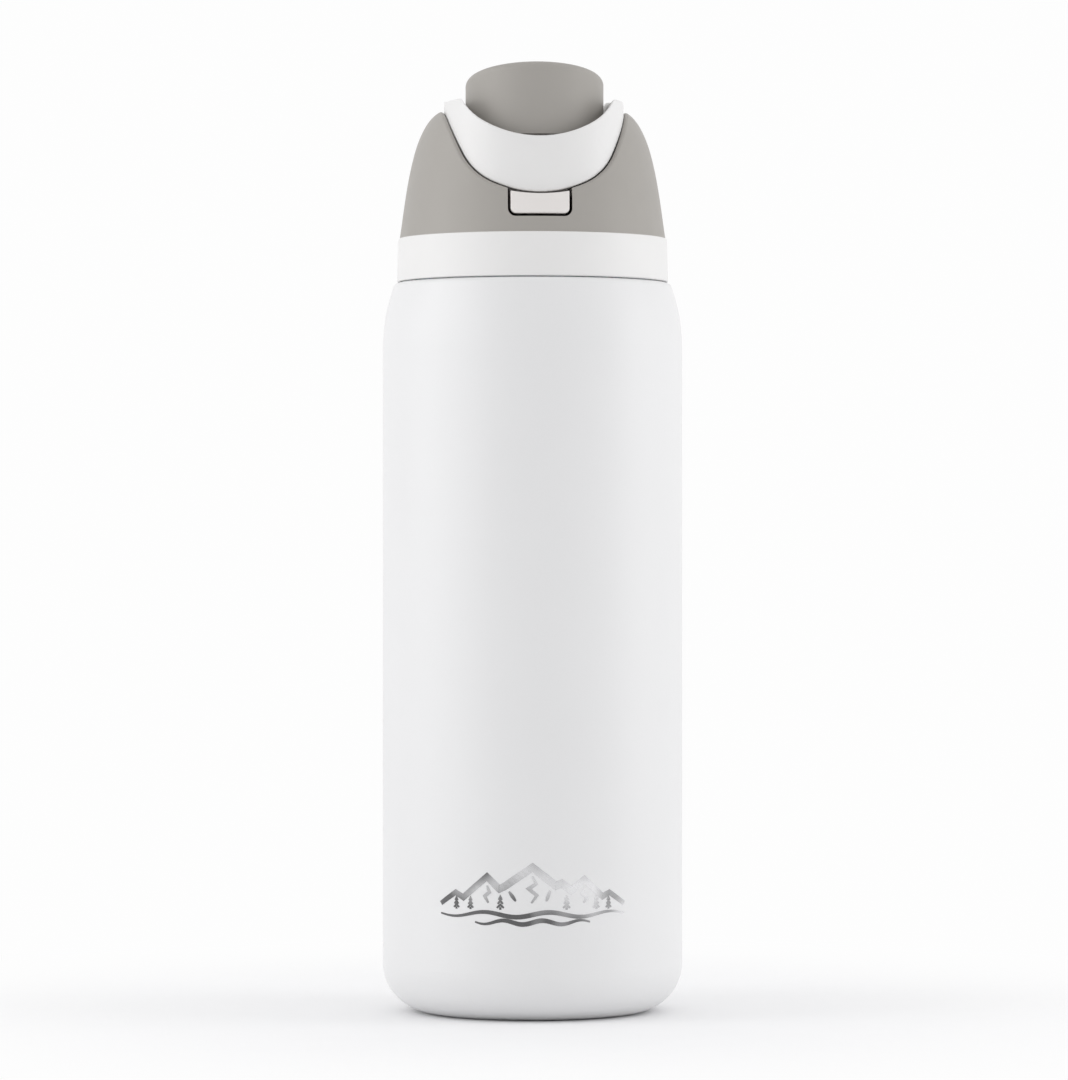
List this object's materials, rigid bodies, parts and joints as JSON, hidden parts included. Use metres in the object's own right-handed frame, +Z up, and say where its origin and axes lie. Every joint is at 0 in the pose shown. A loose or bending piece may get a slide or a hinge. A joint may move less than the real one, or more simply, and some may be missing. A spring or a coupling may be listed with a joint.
{
  "type": "insulated water bottle",
  "caption": "Double-walled steel water bottle with a screw lid, flip-up spout cap, push-button latch, straw and folding carry loop.",
  "frame": {"origin": "centre of the base plane, on the bottle's axis", "axes": "+Z up along the bottle's axis; the push button faces -Y and the cap's hinge is on the +Y side; +X to the right seen from the front"},
  "size_m": [0.083, 0.083, 0.2607],
  "materials": {
    "white_powder_coat": "matte, very fine orange peel",
    "bare_steel": "brushed",
    "solder": "dull",
    "getter_metal": "dull",
    "spring_steel": "bright drawn wire",
    "clear_silicone": "matte translucent",
    "clear_straw": "gloss translucent",
    "white_plastic": "fine satin",
    "grey_plastic": "fine matte",
    "button_plastic": "fine satin"
  },
  "bodies": {
    "bottle": {"outer_shell": "white_powder_coat", "outer_base": "white_powder_coat", "base_disc": "bare_steel", "vacuum_seal": "solder", "inner_vessel": "bare_steel", "getter": "getter_metal"},
    "lid_seat": {"rim_gasket": "clear_silicone"},
    "lid": {"lid_base": "white_plastic", "dome_shell": "grey_plastic", "spout": "grey_plastic", "spout_gasket": "clear_silicone", "straw_socket": "clear_silicone", "straw": "clear_straw", "hinge_pin": "bare_steel", "cap_spring": "spring_steel", "button_spring": "spring_steel", "spring_bracket": "grey_plastic"},
    "flip_cap": {"cap_shell": "grey_plastic", "cap_liner": "white_plastic", "cap_stopper": "clear_silicone"},
    "push_button": {"button": "button_plastic"},
    "loop": {"carry_loop": "white_plastic"}
  },
  "joints": [
    {"name": "lid_rise", "type": "slide", "parent": "bottle", "child": "lid_seat", "axis": [0, 0, 1], "range_m": [0, 0.006]},
    {"name": "lid_turn", "type": "hinge", "parent": "lid_seat", "child": "lid", "pos_m": [0, 0, 0.2018], "axis": [0, 0, 1], "range_deg": [0, 360]},
    {"name": "cap_hinge", "type": "hinge", "parent": "lid", "child": "flip_cap", "pos_m": [0, 0.014, 0.2475], "axis": [-1, 0, 0], "range_deg": [0, 115]},
    {"name": "loop_swing", "type": "hinge", "parent": "lid", "child": "loop", "pos_m": [0, 0.014, 0.2475], "axis": [-1, 0, 0], "range_deg": [0, 160]},
    {"name": "button_press", "type": "slide", "parent": "lid", "child": "push_button", "axis": [0, 1, 0], "range_m": [0, 0.002], "stiffness_N_per_m": 400, "deforming": ["button_spring"]}
  ],
  "couplings": [
    {"joint": "lid_rise", "follows": "lid_turn", "m_per_rad": 0.00095493}
  ]
}
